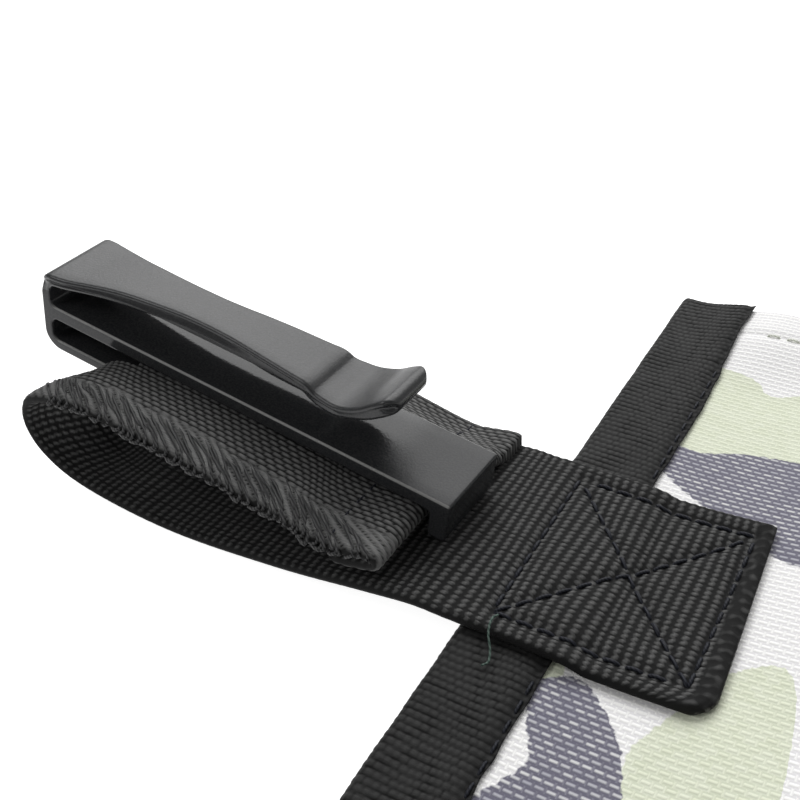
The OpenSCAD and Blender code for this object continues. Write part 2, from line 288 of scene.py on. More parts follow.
def upper_at(x, y):
    """Height of the upper face."""
    along = np.minimum(swell_end(y), swell_mouth(y))
    top = soft_min(EDGE_TOP + SWELL * swell_x(x), EDGE_TOP + SWELL * along)
    return top + slack(x, y) + end_lift(x, y)


def lower_at(x, y):
    """Height of the underside, flat where it rests on the floor."""
    low = -soft_min(-EDGE_LOW * (1 - swell_x(x)), -EDGE_LOW * (1 - swell_end(y)))
    return np.maximum(low, 0)


def cut_grid(xs, ys):
    """Places on the flat cloth, that the weave and the print follow."""
    x, y = np.meshgrid(xs, ys, indexing="ij")
    return stack(x, y, x * 0)


# ---- materials ----

class Shader:
    """A node material, written as calls."""

    def __init__(self, name):
        self.material = bpy.data.materials.new(name)
        self.material.use_nodes = True
        self.tree = self.material.node_tree
        self.bsdf = self.tree.nodes["Principled BSDF"]

    def node(self, kind, inputs=(), **settings):
        n = self.tree.nodes.new(kind)
        for key, value in settings.items():
            setattr(n, key, value)
        for key, value in dict(inputs).items():
            self.put(n.inputs[key], value)
        return n

    def put(self, socket, value):
        if isinstance(value, bpy.types.NodeSocket):
            self.tree.links.new(value, socket)
        else:
            socket.default_value = value

    def math(self, operation, a, b=0.0):
        return self.node("ShaderNodeMath", {0: a, 1: b}, operation=operation).outputs[0]

    def add(self, a, b):
        return self.math("ADD", a, b)

    def minus(self, a, b):
        return self.math("SUBTRACT", a, b)

    def times(self, a, b):
        return self.math("MULTIPLY", a, b)

    def value_of(self, key):
        return self.node("ShaderNodeAttribute", attribute_name=key).outputs["Fac"]

    def vector_of(self, key):
        split = self.node("ShaderNodeSeparateXYZ",
                          {0: self.node("ShaderNodeAttribute", attribute_name=key).outputs["Vector"]})
        return split.outputs[0], split.outputs[1]

    def vector(self, x, y, z=0.0):
        return self.node("ShaderNodeCombineXYZ", {0: x, 1: y, 2: z}).outputs[0]

    def noise(self, where, scale, detail=3.0, rough=0.5):
        return self.node("ShaderNodeTexNoise", {"Vector": where, "Scale": scale, "Detail": detail,
                                                "Roughness": rough}).outputs["Fac"]

    def mix(self, share, a, b):
        n = self.node("ShaderNodeMix", data_type="RGBA")
        for socket, value in ((n.inputs[0], share), (n.inputs[6], a), (n.inputs[7], b)):
            self.put(socket, value)
        return n.outputs[2]

    def between(self, value, low, high, out_low=0.0, out_high=1.0):
        sockets = {0: value, 1: low, 2: high, 3: out_low, 4: out_high}
        return self.node("ShaderNodeMapRange", sockets).outputs[0]

    def bump(self, height, distance, strength):
        return self.node("ShaderNodeBump", {"Height": height, "Distance": distance,
                                            "Strength": strength}).outputs[0]

    def finish(self, **sockets):
        for key, value in sockets.items():
            self.put(self.bsdf.inputs[key.replace("_", " ")], value)
        return self.material


def grey(v, blue=1.0):
    return (v, v, v * blue, 1)


def webbing_material(name, base, pitch_scale):
    """Black polypropylene yarn: gaps between the yarns painted near black as painted shade, brighter
    crests, fine fibres along the yarn.
    """
    s = Shader(name)
    crest = s.value_of("crest")
    u, v = s.vector_of("cut")
    fibre = s.noise(s.vector(s.times(u, 1.2), s.times(v, 7.0)), pitch_scale, 4, 0.7)
    patch = s.noise(s.vector(u, v), 0.12, 2)
    light = s.mix(s.between(fibre, 0.35, 0.7), grey(base), grey(base * 2.2, 0.98))
    light = s.mix(s.between(patch, 0.3, 0.75, 0.0, 0.35), light, grey(base * 0.5))
    # painted shade: where the crest attribute is low, between the yarns, the colour falls to a tenth of the
    # base
    colour = s.mix(s.between(crest, 0.30, 0.95), grey(base * 0.10), light)
    return s.finish(Base_Color=colour, Roughness=s.between(crest, 0.3, 0.9, 0.85, 0.56),
                    Normal=s.bump(fibre, 0.00008, 0.8), Sheen_Weight=0.02, Sheen_Roughness=0.5,
                    Specular_IOR_Level=0.16)


WEFT, WARP = 1.5, 1.05             # pitch of the printed cloth's weave across and along the pouch


def cloth_material():
    """Plain-woven printed cloth: white ground, sage and slate patches, the weave showing in the slate, and
    the low parts of the weave painted darker as painted shade.
    """
    s = Shader("printed_cloth")
    u, v = s.vector_of("cut")
    row = s.math("FLOOR", s.math("DIVIDE", v, WARP))
    shift = s.times(s.math("MODULO", s.math("ABSOLUTE", row), 2.0), 0.5)
    step = s.add(s.math("DIVIDE", u, WEFT), shift)
    off_x = s.math("ABSOLUTE", s.minus(s.math("FRACT", step), 0.5))
    off_y = s.math("ABSOLUTE", s.minus(s.math("FRACT", s.math("DIVIDE", v, WARP)), 0.5))
    weft = s.times(s.between(off_x, 0.30, 0.44, 1.0, 0.0), s.between(off_y, 0.07, 0.29, 1.0, 0.0))
    warp = s.between(off_x, 0.36, 0.5, 0.0, 1.0)
    height = s.math("MAXIMUM", weft, s.times(warp, 0.7))
    random = s.node("ShaderNodeTexWhiteNoise", {"Vector": s.vector(s.math("FLOOR", step), row)},
                    noise_dimensions="3D").outputs["Value"]
    fine = s.noise(s.vector(u, v), 2.4, 3)
    edge = s.times(s.minus(s.noise(s.vector(u, v), 0.9, 2), 0.5), 1.2)
    green = s.between(s.add(s.value_of("green"), edge), -0.12, 0.12)
    slate = s.between(s.add(s.value_of("slate"), edge), -0.12, 0.12)
    # painted shade: the low parts of the weave, where height is small, are painted darker in the white, the
    # sage and the slate
    white = s.mix(s.between(height, 0.0, 0.45), (0.76, 0.75, 0.76, 1), (0.94, 0.935, 0.92, 1))
    sage = s.mix(s.between(height, 0.0, 0.45), (0.62, 0.66, 0.51, 1), (0.73, 0.765, 0.60, 1))
    sage = s.mix(s.between(random, 0, 1, 0, 0.22), sage, (0.86, 0.88, 0.78, 1))
    dark = s.mix(random, (0.145, 0.14, 0.185, 1), (0.215, 0.21, 0.26, 1))
    fleck = s.mix(random, (0.37, 0.37, 0.42, 1), grey(0.66))
    dark = s.mix(s.between(height, 0.0, 0.5), (0.12, 0.115, 0.16, 1), dark)
    print_slate = s.mix(weft, dark, fleck)
    colour = s.mix(green, white, sage)
    colour = s.mix(slate, colour, print_slate)
    colour = s.mix(s.between(fine, 0.3, 0.7, 0.0, 0.07), colour, grey(0.3))
    return s.finish(Base_Color=colour, Roughness=0.78, Normal=s.bump(height, 0.00013, 0.6),
                    Sheen_Weight=0.12, Sheen_Roughness=0.5, Specular_IOR_Level=0.3)


def lining_material():
    """Glass-fibre cloth: pale silver plain weave with a slight gloss, its hollows painted darker as painted
    shade and every other bump painted lighter as painted sheen.
    """
    s = Shader("glass_fibre_lining")
    u, v = s.vector_of("cut")
    cell = s.times(s.math("SINE", s.times(u, math.pi / 0.8)), s.math("SINE", s.times(v, math.pi / 0.8)))
    height = s.math("POWER", s.math("ABSOLUTE", cell), 0.6)
    # painted shade in the hollows between the bumps, and a painted sheen that lightens every other bump
    colour = s.mix(height, grey(0.38), grey(0.72))
    colour = s.mix(s.between(cell, -0.2, 0.2, 0, 0.3), colour, grey(0.82, 0.96))
    return s.finish(Base_Color=colour, Roughness=s.between(height, 0, 1, 0.6, 0.36),
                    Normal=s.bump(height, 0.00012, 0.6), Specular_IOR_Level=0.5)


def thread_material(name, colour, light):
    s = Shader(name)
    where = s.node("ShaderNodeTexCoord").outputs["Object"]
    twist = s.node("ShaderNodeTexWave", {"Vector": where, "Scale": 900.0, "Distortion": 1.5, "Detail": 1.0},
                   bands_direction="DIAGONAL").outputs["Fac"]
    # painted shade and highlight: the twist's bands take the darker colour in the grooves between the plies
    # and the lighter one on the plies
    return s.finish(Base_Color=s.mix(twist, colour, light), Roughness=0.55,
                    Normal=s.bump(twist, 0.00004, 0.6), Specular_IOR_Level=0.18)


def grip_material(name, base):
    s = Shader(name)
    u, v = s.vector_of("cut")
    curl = s.noise(s.vector(u, v), 1.6, 5, 0.75)
    rows = s.math("SINE", s.times(v, 2 * math.pi / 1.4))
    colour = s.mix(s.between(curl, 0.3, 0.7), grey(base * 0.4), grey(base * 1.9))
    return s.finish(Base_Color=s.mix(s.between(rows, 0.4, 1, 0, 0.35), colour, grey(base * 0.5)),
                    Roughness=0.8, Normal=s.bump(curl, 0.0004, 0.8), Sheen_Weight=0.35, Sheen_Roughness=0.4)


def plastic_material(name, gloss):
    """Black moulded plastic: a fine spark grain on the faces that look up, smoother sides, and a painted
    highlight in light grey on the rounded top edges of the plate.
    """
    s = Shader(name)
    where = s.node("ShaderNodeTexCoord").outputs["Object"]
    grain_share = s.value_of("grain")
    fine = s.noise(where, 3400.0, 2, 0.6)
    cells = s.node("ShaderNodeTexVoronoi", {"Vector": where, "Scale": 2300.0}).outputs["Distance"]
    smudge = s.noise(where, 60.0, 3)
    height = s.add(fine, s.times(cells, 0.7))
    rough_top = s.between(fine, 0.3, 0.7, 0.52, 0.66)
    rough_side = s.between(smudge, 0.3, 0.7, 0.14, 0.24)
    rough = s.add(s.times(rough_top, grain_share), s.times(rough_side, s.minus(1.0, grain_share)))
    rough = s.add(rough, s.times(s.value_of("sleek"), s.minus(0.07, rough)))
    strength = s.add(s.times(grain_share, 0.55), 0.06)
    bump = s.bump(height, 0.00005, strength)
    colour = s.mix(s.between(fine, 0.35, 0.75), (0.016, 0.017, 0.019, 1), (0.034, 0.034, 0.034, 1))
    colour = s.mix(s.times(grain_share, s.between(cells, 0.0, 0.6, 0.35, 0.0)), colour,
                   (0.075, 0.075, 0.074, 1))
    # painted highlight: where the rim attribute is set, on the plate's rounded top edges, the colour is a
    # light grey
    colour = s.mix(s.value_of("rim"), colour, (0.20, 0.20, 0.195, 1))
    return s.finish(Base_Color=colour, Roughness=rough, Normal=bump, Specular_IOR_Level=gloss)


def floor_material():
    s = Shader("floor")
    where = s.node("ShaderNodeTexCoord").outputs["Object"]
    soft = s.noise(where, 3.0, 2)
    return s.finish(Base_Color=s.mix(soft, grey(0.55), grey(0.58)), Roughness=0.9,
                    Specular_IOR_Level=0.1, Emission_Color=(1, 1, 1, 1), Emission_Strength=0.90)


WEBBING = webbing_material("black_webbing", 0.106, 1.0)
TAPE = webbing_material("black_tape", 0.016, 1.2)
CLOTH = cloth_material()
LINING = lining_material()
# the second colour of each thread is the painted highlight on the plies of its twist
BLACK_THREAD = thread_material("black_thread", (0.008, 0.009, 0.013, 1), (0.022, 0.024, 0.032, 1))
GREEN_THREAD = thread_material("loose_thread", (0.030, 0.055, 0.045, 1), (0.10, 0.14, 0.12, 1))
PALE_THREAD = thread_material("pale_thread", (0.62, 0.65, 0.56, 1), (0.80, 0.82, 0.74, 1))
FRAYED = thread_material("frayed_yarn", (0.022, 0.022, 0.023, 1), grey(0.075))
LOOPS = grip_material("loop_pile", 0.030)
HOOKS = grip_material("hook_tape", 0.022)
PLASTIC = plastic_material("clip_plastic", 0.42)
SMOOTH_PLASTIC = plastic_material("clip_plastic_smooth", 0.20)


# ---- printed pattern ----

def inside_depth(x, y, outline):
    """Signed distance to a closed smooth outline, positive inside."""
    line = smooth_line(list(outline) + [outline[0]], 4)
    depth = np.full(x.shape, 1e9)
    inside = np.zeros(x.shape, bool)
    for (x0, y0), (x1, y1) in zip(line[:-1], line[1:]):
        depth = np.minimum(depth, segment_distance(x, y, (x0, y0), (x1, y1)))
        crosses = (y0 > y) != (y1 > y)
        if y1 != y0:
            inside ^= crosses & (x < x0 + (y - y0) * (x1 - x0) / (y1 - y0))
    return np.where(inside, depth, -depth)


# Patches of the print beside the strap: outlines on the upper face, simplified to whole millimetres
SAGE_BY_STRAP = [
    [(-96, 102), (-74, 99), (-68, 94), (-61, 97), (-50, 93), (-46, 80), (-60, 75), (-96, 74)],
    [(-61, 22), (-64, 14), (-62, 4), (-54, -7), (-42, -9), (-33, 6), (-36, 24), (-48, 35), (-57, 31)],
    [(-81, 24), (-76, 24), (-76, 20), (-81, 20)],
]
SLATE_BY_STRAP = [
    [(-81, 75), (-74, 74), (-67, 77), (-58, 78), (-48, 78), (-38, 70), (-37, 61), (-46, 55), (-56, 54),
     (-65, 60), (-72, 63), (-81, 70)],
    [(-79, 19), (-73, 22), (-67, 17), (-64, 12), (-62, 4), (-65, -4), (-71, -9), (-79, -6), (-77, 1),
     (-74, 7), (-76, 12)],
]
NEAR_X, NEAR_LOW, NEAR_HIGH = -44.0, -8.0, 104.0   # window that holds those patches


def patches(x, y, seed, window=False):
    """Depth inside the sage and the slate patches, in millimetres, positive inside."""
    sage = 7.0 * (ripples(x, y, 46, seed) - 0.35)
    slate = 7.0 * (ripples(x, y, 40, seed + 7) - 0.55)
    if window:
        share = ramp(NEAR_X - x, 8) * ramp(y - NEAR_LOW, 8) * ramp(NEAR_HIGH - y, 8)
        for outlines, field in ((SAGE_BY_STRAP, sage), (SLATE_BY_STRAP, slate)):
            drawn = np.max([inside_depth(x, y, o) for o in outlines], axis=0)
            field += share * (drawn - field)
    return sage, slate


# ---- cloth ----

def cloth_piece(name, outer, thickness, cut, material, slot, seed=None, window=False):
    """A sheet with its outer face at the given grid and its inner face that far behind it."""
    du = np.gradient(outer, axis=0)
    dv = np.gradient(outer, axis=1)
    normal = unit(np.cross(du, dv))
    inner = outer - normal * thickness
    extra = {}
    if seed is not None:
        sage, slate = patches(cut[..., 0], cut[..., 1], seed, window)
        extra = {"green": sage, "slate": slate}
    return sheet_piece(name, outer, inner, material, slot, cut=cut, **extra)


xs = spaced(-HALF_W + 0.4, HALF_W - 0.4, 1.2)
PRINT_SHIFT_BACK, PRINT_SHIFT_FLAP = 400, 300      # other stretches of the printed cloth
SHORT_ROWS = 6                                     # the linings stop this many grid rows short of the end
FINE_END = 14                                      # length of the finer rows at the closed end


def end_roll(x, y):
    """How far each face's edge is turned in at the closed end, where the two edges meet."""
    half_gap = (upper_at(x, y) - lower_at(x, y)) / 2 + 0.1
    return np.clip((y - END_Y + END_TURN) / END_TURN, 0, 1) ** 2.4 * half_gap


def topstitch_dip(y):
    return -0.28 * np.exp(-(y - TOPSTITCH_Y) ** 2)


def face_rows(start):
    """Places along a face, closer together near the closed end."""
    fine_from = END_Y - FINE_END
    return np.concatenate([spaced(start, fine_from, 1.2)[:-1], spaced(fine_from, END_Y, 0.25)])


ys_front = face_rows(MOUTH_Y)
x, y = np.meshgrid(xs, ys_front, indexing="ij")
cloth_front = cloth_piece(
    "cloth_front", stack(x, y, upper_at(x, y) - end_roll(x, y) + topstitch_dip(y)), PANEL_T,
    cut_grid(xs, ys_front), CLOTH, "outer_fabric", seed=11, window=True)
x, y = np.meshgrid(xs, ys_front[:-SHORT_ROWS], indexing="ij")
lining_front = cloth_piece(
    "lining_front", stack(x, y, upper_at(x, y) - PANEL_T - 0.12), LINING_T - 0.15,
    cut_grid(xs, ys_front[:-SHORT_ROWS]), LINING, "lining")

ys_back = face_rows(FOLD_Y)
x, y = np.meshgrid(xs[::-1], ys_back, indexing="ij")
cloth_back = cloth_piece(
    "cloth_back", stack(x, y, lower_at(x, y) + end_roll(x, y) - topstitch_dip(y)), PANEL_T,
    cut_grid(xs[::-1] + PRINT_SHIFT_BACK, ys_back), CLOTH, "outer_fabric", seed=23)
x, y = np.meshgrid(xs[::-1], ys_back[:-SHORT_ROWS], indexing="ij")
lining_back = cloth_piece(
    "lining_back", stack(x, y, lower_at(x, y) + PANEL_T + 0.1), LINING_T - 0.15,
    cut_grid(xs[::-1], ys_back[:-SHORT_ROWS]), LINING, "lining")


def flap_height(x, y):
    """Height of the flap's inner face."""
    return upper_at(x, y) + FLAP_GAP


def flap_route(xs, off):
    """Grid that follows the mouth fold from the back cloth and then the flap, off inside its outer face."""
    turn = np.radians(spaced(-90, 90, 6))
    ys = spaced(FOLD_Y + 0.4, FLAP_END, 1.2)
    columns = []
    for x in xs:
        low = float(lower_at(x, FOLD_Y)) + off
        high = float(flap_height(x, FOLD_Y)) + SKIN_T - off
        middle, r = (low + high) / 2, (high - low) / 2
        bow = FOLD_R - off - 0.4 * (1 - r / FOLD_R) * FOLD_R
        bend = stack(np.full(len(turn), x), FOLD_Y - np.cos(turn) * bow, middle + np.sin(turn) * r)
        flat = stack(np.full(len(ys), x), ys, flap_height(x, ys) + SKIN_T - off)
        columns.append(np.vstack([bend, flat]))
    return np.array(columns)


flap_xs = spaced(-FLAP_HALF + 0.3, FLAP_HALF - 0.3, 1.2)
outer = flap_route(flap_xs, 0.0)
along = lengths(outer[len(flap_xs) // 2])
flap_cut = cut_grid(flap_xs, along + PRINT_SHIFT_FLAP)
flap_cloth = cloth_piece("flap_cloth", outer, PANEL_T, flap_cut, CLOTH, "outer_fabric", seed=37)
lining_flap = cloth_piece("lining_flap", flap_route(flap_xs, PANEL_T + 0.1), LINING_T - 0.15, flap_cut,
                          LINING, "lining")


# ---- ribbed tape ----

TAPE_RIB, TAPE_BUMP = 1.2, 1.1     # pitch of the ribs, and of the bumps on each


def rib_relief(across, along):
    """Plain weave of the binding tape: ribs across it, each a row of bumps."""
    row = along / TAPE_RIB
    bump = across / TAPE_BUMP + 0.5 * (np.floor(row) % 2)
    return dome(2 * (row % 1) - 1) * (0.45 + 0.55 * dome(2 * (bump % 1) - 1))


def bound_edge(name, plan, columns, middle, half_stack, seam, seed):
    """Tape folded round an edge. plan(inset, columns) gives x and y; inset is measured in from the edge."""
    width, reach, skin = TAPE_W, TAPE_T - 0.15, half_stack + TAPE_T - 0.18
    turn = np.radians(spaced(90, -90, 10))
    r = skin * 0.6
    bend = stack(r - reach - np.cos(turn) * r, np.sin(turn) * skin)
    path = even_line(np.vstack([[[width, skin]], bend, [[width, -skin]]]), 0.3)
    s = lengths(path)
    tangent = unit(np.gradient(path, axis=0))
    normal = stack(-tangent[:, 1], tangent[:, 0])
    if normal[0, 1] < 0:
        normal = -normal
    S, C = np.meshgrid(s, columns, indexing="ij")
    inset = np.broadcast_to(path[:, :1], S.shape).copy()
    height = np.broadcast_to(path[:, 1:], S.shape)
    wander = 0.28 * ripples(C, C * 0, 30, seed) + 0.09 * ripples(C, C * 0, 6, seed + 1)
    flip = np.where(height > 0, 1.0, -0.7)
    inset = inset + ramp(inset - 4, 8) * (wander * flip - 1.1)
    beat = 0.75 + 0.25 * np.cos(2 * math.pi * C / PITCH)
    dip = np.exp(-((inset - seam) / 0.8) ** 2) * beat
    puff = np.exp(-((inset - seam - 1.9) / 0.8) ** 2) * 0.15 - 0.32 * dip
    relief = rib_relief(S, C + 0.25 * ripples(S, C, 12, seed + 2))
    calm = 1 - 0.6 * np.exp(-((inset - seam - 0.8) / 1.7) ** 2)
    edge = np.clip(np.minimum(S, s[-1] - S) / 0.5, 0, 1) ** 0.5
    lift = (0.20 * relief * calm + puff + 0.05 * ripples(S, C, 9, seed + 3)) * edge
    base = np.broadcast_to(normal[:, None, :], S.shape + (2,))

    def place(off):
        i, h = inset + base[..., 0] * off, height + base[..., 1] * off
        x, y = plan(i, C)
        return stack(x, y, middle(x, y) + h + end_lift(x, y) * np.clip(h / skin * 0.5 + 0.5, 0, 1))

    outer, inner = place(lift), place(-(0.45 * edge + 0.05))
    cut = stack(S, C, S * 0)
    facing = np.cross(np.gradient(outer, axis=0), np.gradient(outer, axis=1))[1, len(columns) // 2, 2]
    if facing < 0:
        outer, inner, cut, relief = (a[:, ::-1] for a in (outer, inner, cut, relief))
    # crest carries the tape's painted shade: dark in the gaps of the weave, and darker beside the seam,
    # where calm lowers it
    return sheet_piece(name, outer, inner, TAPE, "tape", cut=cut, crest=relief * (0.6 + 0.4 * calm))


def side_plan(side):
    return lambda inset, y: (side * (HALF_W - inset), y)


def side_middle(x, y):
    return np.full(x.shape, (EDGE_LOW + EDGE_TOP) / 2)


def flap_plan(inset, c):
    """Round the flap's three free edges: c grows by FLAP_LEG on each of them in turn."""
    half, end = FLAP_HALF - inset, FLAP_END - inset
    run = FOLD_Y + 0.4
    leg = np.floor(np.minimum(c / FLAP_LEG, 2.999))
    up, across, down = (np.clip(c / FLAP_LEG - k, 0, 1) for k in range(3))
    x = np.where(leg == 0, -half, np.where(leg == 1, -half + 2 * half * across, half))
    y = np.where(leg == 0, run + up * (end - run), np.where(leg == 1, end, end + down * (run - end)))
    return x, y


FLAP_LEG = 90.0
tape_left = bound_edge("tape_left", side_plan(-1), spaced(-HALF_L, END_Y, 0.3), side_middle, SKIN_T,
                       TAPE_W - 2, 50)
tape_right = bound_edge("tape_right", side_plan(1), spaced(-HALF_L, END_Y, 0.42), side_middle, SKIN_T,
                        TAPE_W - 2, 56)
flap_columns = np.concatenate([spaced(0, FLAP_LEG, 0.6)[:-1], spaced(FLAP_LEG, 2 * FLAP_LEG, 0.22)[:-1],
                               spaced(2 * FLAP_LEG, 3 * FLAP_LEG, 0.6)])
tape_flap = bound_edge(
    "tape_flap", flap_plan, flap_columns,
    lambda x, y: flap_height(np.clip(x, -FLAP_HALF, FLAP_HALF), np.minimum(y, FLAP_END)) + SKIN_T / 2,
    SKIN_T / 2, TAPE_W - 2, 71)

# ---- hook and loop strips ----

strip_low, strip_high = box_mm("loop_strip")
strip_xs = spaced(strip_low[0], strip_high[0], 0.5)
strip_ys = spaced(strip_low[1], strip_high[1], 0.5)
x, y = np.meshgrid(strip_xs, strip_ys, indexing="ij")
from_sides = np.minimum(x - strip_low[0], strip_high[0] - x)
from_edge = np.minimum(from_sides, np.minimum(y - strip_low[1], strip_high[1] - y))
seam_dip = -0.35 * np.exp(-((from_edge - 2) / 0.7) ** 2)
rim = np.clip(from_edge / 0.8, 0, 1) ** 0.5
pile = 0.22 * ripples(x, y, 2.2, 81) + 0.12 * ripples(x, y, 1.1, 82)
loop_pile = sheet_piece(
    "loop_pile", stack(x, y, upper_at(x, y) + 0.45 + rim * (0.5 + pile) + seam_dip),
    stack(x, y, upper_at(x, y) + 0.02), LOOPS, "hook_and_loop", cut=cut_grid(strip_xs, strip_ys))
hook_base = sheet_piece(
    "hook_base", stack(x, y, flap_height(x, y) - 0.02),
    stack(x, y, flap_height(x, y) - 0.35 - 0.1 * rim - seam_dip * 0.5), HOOKS, "hook_and_loop",
    cut=cut_grid(strip_xs, strip_ys))


def hook(x, y, top):
    """One hook: a stem that hangs from the tape and curls back."""
    return np.array([[x, y, top], [x, y, top - 0.55], [x + 0.12, y, top - 0.80], [x + 0.34, y, top - 0.84],
                     [x + 0.42, y, top - 0.62]])


hook_lines = []
rng = np.random.default_rng(5)
for hx in np.arange(strip_low[0] + 3, strip_high[0] - 3, 1.9):
    for hy in np.arange(strip_low[1] + 3, strip_high[1] - 3, 1.5):
        top = float(flap_height(hx, hy)) - 0.3
        hook_lines.append(hook(hx + rng.normal(0, 0.1), hy + rng.normal(0, 0.1), top))
hook_rows = tubes_piece("hook_rows", hook_lines, 0.11, HOOKS, "hook_and_loop", sides=4)

# ---- strap ----

LOOP_ROUTE = [
    (-2.2, -0.8), (-7, -0.95), (-15, -2.5), (-30, -5.9), (-50, -8), (-66.5, -7.1), (-74.4, -4),
    (-77.4, 1.2), (-75, 6.8), (-68, 9.9), (-58, 9.7), (-40, 7.1), (-20, 3.9), (-14, 3.8), (-10.8, 3.7),
    (-9.8, 2.9), (-10.8, 2.15), (-14, 2.1), (-17, 2.3)]
FAR_SAG = 3.6
HALF_T = 0.60                     # half thickness of the webbing under its weave
SLIT_HALF, SLIT_END = 8.2, -64.0
BOX_X0, BOX_X1, BOX_SIDE = 3.0, TAB_L - 3.1, STRAP_W / 2 - 3.5


def tab_under(d, y):
    """Underside of the tab: on the tape first, then down on to the printed face."""
    step = ramp(d - TAPE_W, 3)
    return TAPE_TOP * (1 - step) + (upper_at(-HALF_W + d, y) + 0.05) * step


BOX = [(BOX_X0, -BOX_SIDE), (BOX_X1, -BOX_SIDE), (BOX_X1, BOX_SIDE), (BOX_X0, BOX_SIDE)]
BOX_LINES = [(BOX[i], BOX[(i + 1) % 4]) for i in range(4)] + [(BOX[0], BOX[2]), (BOX[1], BOX[3])]


def pucker(x, t):
    """How far the tab's top is pulled down by its seams."""
    d = np.min([segment_distance(x, t, a, b) for a, b in BOX_LINES], axis=0)
    return -0.50 * np.exp(-(d / 1.0) ** 2) + 0.22 * (1 - np.exp(-(d / 3.2) ** 2))


def to_row(x, t, z):
    """Strap coordinates to the row frame; the loop is turned with the clip, the tab isn't."""
    turn = CLIP_YAW * ramp(-x, 8)
    return stack(-HALF_W + x * np.cos(turn) - t * np.sin(turn),
                 STRAP_Y + x * np.sin(turn) + t * np.cos(turn), TAB_TOP + z)


tab_x = spaced(TAB_L, 1.5, 2.0)
tab_line = stack(tab_x, tab_under(tab_x, STRAP_Y) + STRAP_T / 2 - TAB_TOP)
line = even_line(smooth_line(np.vstack([tab_line, LOOP_ROUTE])), 0.3)
ts = spaced(-STRAP_W / 2, STRAP_W / 2, 0.2835)
S, T = np.meshgrid(lengths(line), ts, indexing="ij")
tangent = unit(np.gradient(line, axis=0))
side_x = np.broadcast_to(tangent[:, 1:], S.shape)      # sideways from the line: up on the tab
side_z = np.broadcast_to(-tangent[:, :1], S.shape)
flat_x = np.broadcast_to(line[:, :1], S.shape)
flat_z = np.broadcast_to(line[:, 1:], S.shape)
turn_at = lengths(line)[np.argmin(line[:, 0])]          # where the loop turns back
# the slit is open round the turn, from SLIT_END above to 9 mm further out on the lower layer
slit_keep = ~((np.abs(T) < SLIT_HALF) & (flat_x < SLIT_END - 9 * (S < turn_at)))[:-1, :-1]
on_tab = ramp(flat_x - 9, 3)
upper_layer = ramp(S - turn_at, 12)
# the tab's end is cut a little askew, with one rounded corner
corner = np.clip(-T - (STRAP_W / 2 - 4), 0, 4)
end_x = TAB_L - 0.95 * T / (STRAP_W / 2) - (4 - np.sqrt(np.maximum(16 - corner ** 2, 0)))
near_end = np.clip((flat_x - 20) / (TAB_L - 20), 0, 1)
strap_x = flat_x + near_end * (end_x - TAB_L)
strap_z = flat_z + on_tab * (tab_under(strap_x, STRAP_Y + T) - tab_under(flat_x, STRAP_Y))
# at the turn the middle of the webbing is drawn in, where the clip's leg goes through
lean = 1 - 0.35 * ramp(STRAP_W / 2 - np.abs(T), 10.8)
strap_x = np.where(strap_x < -60, -60 + (strap_x + 60) * lean, strap_x)
# the upper layer's end lies 2.6 mm further back, except along its far edge
at_end = upper_layer * ramp(strap_x + 30, 10)
strap_x = strap_x - 2.6 * at_end * ramp(9.8 - T, 2.4)
# the far side of the upper layer hangs down behind the clip, as far as the layer below lets it
low_part = line[:, 1][:np.argmin(line[:, 0])]
below = np.interp(-strap_x, -line[:, 0][:len(low_part)], low_part)
folded = S > lengths(line)[-1] - 7.5
lowest = below + np.where(folded, 1.5, 1.5 + 1.3 * ramp(strap_x + 24, 8))
sag = FAR_SAG * ramp(T - 6, 12) * ramp(S - turn_at + 8, 16)
strap_z = np.where(S > turn_at, np.maximum(strap_z - sag, np.minimum(strap_z, lowest)), strap_z - sag)
# the worn near edge droops
strap_z = strap_z - upper_layer * 0.045 * np.clip(-T - 13, 0, 6) ** 2 * ramp(-strap_x - 12, 8)
strap_z = strap_z + 0.16 * ripples(S, T, 34, 90) * (1 - on_tab) * ramp(-flat_x, 8)


YARN_INSIDE, RIB_INSIDE = 0.95, 1.45       # pitch of the yarns across the webbing, and along it
YARN_OUTSIDE, FLOAT_OUTSIDE = 0.85, 1.75


def yarns_inside(s, t):
    """Weave of the webbing's inner side: ribs across it, with slanting yarns."""
    local = t / YARN_INSIDE % 1 - 0.5
    rib = 0.5 + 0.5 * np.cos(2 * math.pi * (s + 0.45 * local) / RIB_INSIDE)
    return dome(2 * local) * (0.25 + 0.75 * rib)


def yarns_outside(s, t):
    """Weave of the outer side: long floats, each column half a step behind the next."""
    yarn = t / YARN_OUTSIDE
    local = yarn % 1 - 0.5
    step = s / FLOAT_OUTSIDE + 0.5 * (np.floor(yarn) % 2) + 0.3 * local
    bead = 2 * (step % 1) - 1
    return dome(2 * local) * np.clip(1 - bead ** 2, 0, 1) ** 0.45


def loose_yarns(s, t):
    """Slanting threads beside the worn edge."""
    step = (s + 1.75 * t) / 2.2 + 0.22 * ripples(s, t, 9, 91)
    return np.clip(1 - (2 * (step % 1) - 1) ** 2, 0, 1) ** 0.5


